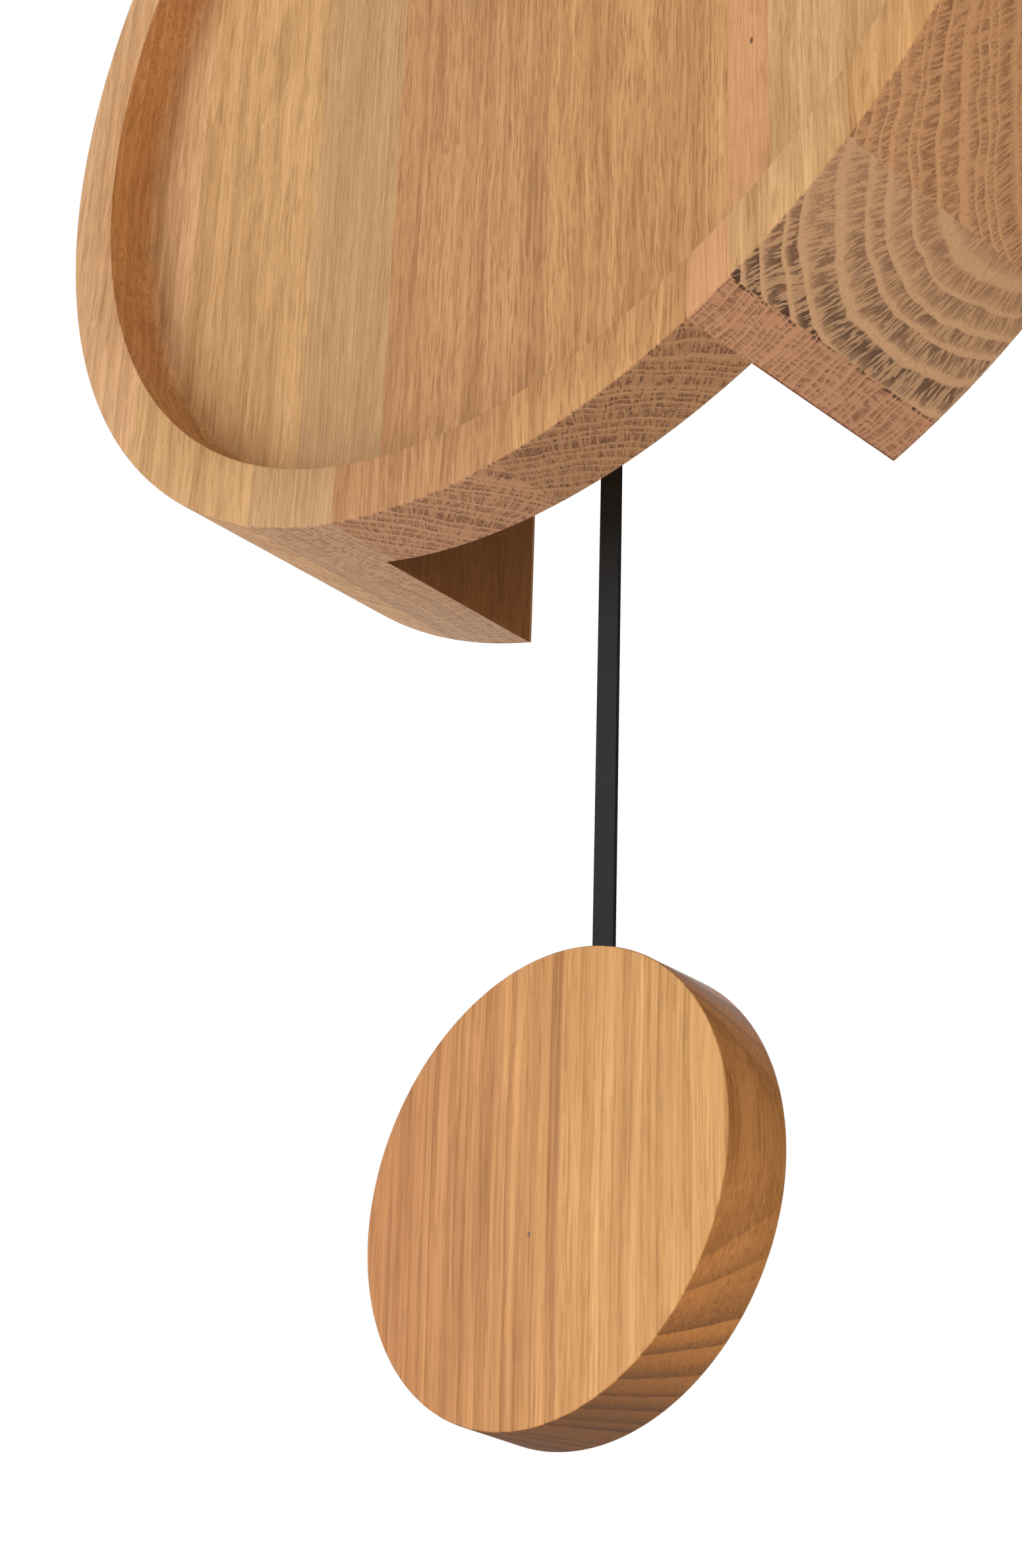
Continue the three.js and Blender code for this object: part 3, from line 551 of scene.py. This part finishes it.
# sunk seat for the keyhole plate, room behind it for a screw head, and two pilot holes, from the hanging point
hangerPlan = {
    "seatHalf": 28.3, "seatLow": -16.3, "seatHigh": 8.3, "seatCorner": 3.3, "seatDeep": 3.2,
    "roomHalf": 8, "roomLow": -14.5, "roomHigh": 5, "roomCorner": 2, "roomDeep": 13.2,
    "pilot": 1.4, "pilotX": 21, "pilotZ": -4, "pilotDeep": 16.2,
}
caseRadius = casePlan["radius"]
frontY = caseLow.y / mm
backY = caseHigh.y / mm
dialY = frontY + casePlan["recess"]
pocketY = dialY + casePlan["floor"]
channelHalf = casePlan["channel"] / 2
bowlRadius = caseRadius - casePlan["rim"]


def edgeArc(r, y, width, turnFrom, turnTo, steps=3):
    points = []
    for i in range(steps + 1):
        turn = math.radians(turnFrom + (turnTo - turnFrom) * i / steps)
        points.append((r + width * math.cos(turn), y + width * math.sin(turn)))
    return points


def smoothFaces(body, angle=34):
    for face in body.data.polygons:
        face.use_smooth = True
    body.data.set_sharp_from_angle(angle=math.radians(angle))


def caseShape():
    e, b, f = casePlan["frontEdge"], casePlan["backEdge"], casePlan["floorFillet"]
    profile = [(0, dialY)]
    profile += [(bowlRadius - f + f * math.sin(math.radians(a)), dialY - f + f * math.cos(math.radians(a)))
                for a in (0, 18, 36, 54, 72, 90)]
    profile += [(bowlRadius, frontY + 0.4), (bowlRadius + 0.12, frontY + 0.12), (bowlRadius + 0.4, frontY)]
    profile += edgeArc(caseRadius - e, frontY + e, e, -90, 0)
    profile += edgeArc(caseRadius - b, backY - b, b, 0, 90)
    profile += [(0, backY)]
    body = meshObject("case_oak", turnedBody(profile, casePlan["steps"], dialCentre), caseOak)
    # the channel: straight walls below, a half circle on top
    middle = casePlan["channelShift"]
    arch = [(middle - channelHalf, -caseRadius - 10), (middle + channelHalf, -caseRadius - 10)] + [
        (middle + channelHalf * math.cos(math.radians(a)), channelHalf * math.sin(math.radians(a)))
        for a in range(0, 181, 5)]
    hang, plan = -dialZ, hangerPlan
    seat = roundedPoints(-plan["seatHalf"], plan["seatHalf"], hang + plan["seatLow"], hang + plan["seatHigh"],
                         plan["seatCorner"])
    room = roundedPoints(-plan["roomHalf"], plan["roomHalf"], hang + plan["roomLow"], hang + plan["roomHigh"],
                         plan["roomCorner"])
    # each cutter runs a little past the surface that it opens
    cutters = [
        prism(arch, pocketY, backY + 5, dialCentre),
        prism(circlePoints(casePlan["bore"], 48), dialY - 3, pocketY + 3, dialCentre),
        prism(seat, -plan["seatDeep"], backY + 5, dialCentre),
        prism(room, -plan["roomDeep"], backY + 1, dialCentre),
    ]
    cutters += [
        prism(circlePoints(plan["pilot"], 24, x, hang + plan["pilotZ"]), -plan["pilotDeep"], -1, dialCentre)
        for x in (-plan["pilotX"], plan["pilotX"])]
    carve(body, cutters)
    bpy.ops.object.select_all(action="DESELECT")
    soften(body, casePlan["cutEdge"], segments=2)
    settle(body)
    smoothFaces(body)
    return body


case = caseShape()
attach(case, "clock")
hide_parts("case_body")
print("case made:", len(case.data.polygons), "faces")


bobPlan = {"radius": 43.4, "edge": 0.3, "steps": 192, "pilot": 1.3, "pilotDeep": 9, "screws": (15, -15)}


def bobShape():
    r, e = bobPlan["radius"], bobPlan["edge"]
    front, back = bobLow.y / mm, bobHigh.y / mm
    profile = [(0, front)]
    profile += edgeArc(r - e, front + e, e, -90, 0)
    profile += edgeArc(r - e, back - e, e, 0, 90)
    profile += [(0, back)]
    body = meshObject("bob_oak", turnedBody(profile, bobPlan["steps"], bobCentre), bobOak)
    carve(body, [
        prism(circlePoints(bobPlan["pilot"], 24, 0, z), back - bobPlan["pilotDeep"], back + 2, bobCentre)
        for z in bobPlan["screws"]])
    smoothFaces(body)
    return body


bobBody = bobShape()
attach(bobBody, "pendulum")
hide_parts("bob")
print("bob made")


# pieces kept as they are, with fine edges and their real finish
kept = [
    (powderBlack, 0.12, "pendulum_rod minute_hand hour_hand"),
    (powderBlack, 0.25, "hand_cap"),
    (zincSteel, 0.15, "hanger_plate pivot_pin arm_magnet"),
    (zincSteel, 0.2, "hanger_screw_left hanger_screw_right bob_screw_upper bob_screw_lower"),
    (zincSteel, 0.05, "stator contact_minus contact_plus"),
    (mouldedBlack, 0.25, "movement_front movement_rear"),
    (blackRubber, 0.15, "rubber_washer"),
    (turnedBrass, 0.1, "brass_washer minute_arbor"),
    (turnedBrass, 0.25, "centre_nut"),
    (boardGreen, 0.05, "circuit_board"),
    (copperWire, 0.3, "pendulum_coil stepper_coil"),
    (cellSleeve, 0.5, "battery"),
    (mouldedWhite, 0.05, "centre_wheel hour_wheel minute_wheel third_wheel seconds_wheel fifth_wheel rotor"),
    (mouldedWhite, 0.2, "setting_knob"),
    (mouldedWhite, 0.3, "hanger_arm"),
]
keptCount = 0
for material, edge, nodes in kept:
    for node in nodes.split():
        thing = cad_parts[node]
        thing.data.materials.clear()
        thing.data.materials.append(material)
        soften(thing, edge, segments=2, angle=40)
        keptCount += 1
print("kept pieces finished:", keptCount)


lightPlan = {
    "key": {"place": (-1.6, -1.9, 0.3), "size": 1.6, "power": 26, "tint": "#FFFFFF"},
    "under": {"place": (-0.8, -0.9, -1.5), "size": 1.5, "power": 11, "tint": "#FFFAF2"},
    "right": {"place": (1.7, -1.0, -0.35), "size": 1.4, "power": 13, "tint": "#FFDCB4"},
    "back": {"place": (-0.9, 1.7, 0.6), "size": 1.4, "power": 24, "tint": "#FFFFFF"},
}
for name, plan in lightPlan.items():
    data = bpy.data.lights.new(name, "AREA")
    data.shape = "DISK"
    data.size = plan["size"]
    data.energy = plan["power"]
    data.color = colour(plan["tint"])[:3]
    lamp = bpy.data.objects.new(name, data)
    lamp.location = dialCentre + Vector(plan["place"])
    aim = (dialCentre + Vector((0, 0, -0.1)) - lamp.location).normalized()
    lamp.rotation_mode = "QUATERNION"
    lamp.rotation_quaternion = aim.to_track_quat("-Z", "Y")
    bpy.context.scene.collection.objects.link(lamp)

# a white room, brightest in front of the clock, to the left and below
studioPlan = {"toward": (-0.55, -0.7, -0.45), "darkest": 0.10, "brightest": 0.62}
world = bpy.data.worlds.new("studio")
bpy.context.scene.world = world
world.use_nodes = True
sky = world.node_tree
sky.nodes.clear()
seen = addNode(sky, "ShaderNodeLightPath").outputs["Is Camera Ray"]
heading = addNode(sky, "ShaderNodeTexCoord").outputs["Generated"]
bright = Vector(studioPlan["toward"]).normalized()
toward = addNode(sky, "ShaderNodeVectorMath", {0: heading, 1: bright}, operation="DOT_PRODUCT").outputs["Value"]
share = addNode(sky, "ShaderNodeMapRange", {
    "Value": toward, "From Min": -1.0, "From Max": 1.0,
    "To Min": studioPlan["darkest"], "To Max": studioPlan["brightest"]})
dim = addNode(sky, "ShaderNodeBackground", {"Color": colour("#FFFFFF"), "Strength": share})
white = addNode(sky, "ShaderNodeBackground", {"Color": colour("#FFFFFF"), "Strength": 1.0})
room = addNode(sky, "ShaderNodeMixShader", {0: seen, 1: dim, 2: white})
addNode(sky, "ShaderNodeOutputWorld", {"Surface": room})

floorPlan = {"half": 4, "below": 1.1}                   # metres
# a matt sheet that glows a little, so that undersides stay open
paleFloor = finish("paleMattFloor", "#F1EFEB", 0.8, grain=2.0, swing=0.01, glow=0.3)
floorMesh = bmesh.new()
reach, drop = floorPlan["half"], floorPlan["below"]
corners = ((-reach, -reach), (reach, -reach), (reach, reach), (-reach, reach))
floorMesh.faces.new([floorMesh.verts.new((x, y, cadBox[0][2] - drop)) for x, y in corners])
floor = meshObject("floor", floorMesh, paleFloor)
view = bpy.context.scene.view_settings
view.view_transform = "Standard"
view.look = "None"
view.exposure = 0
print("light and floor set")
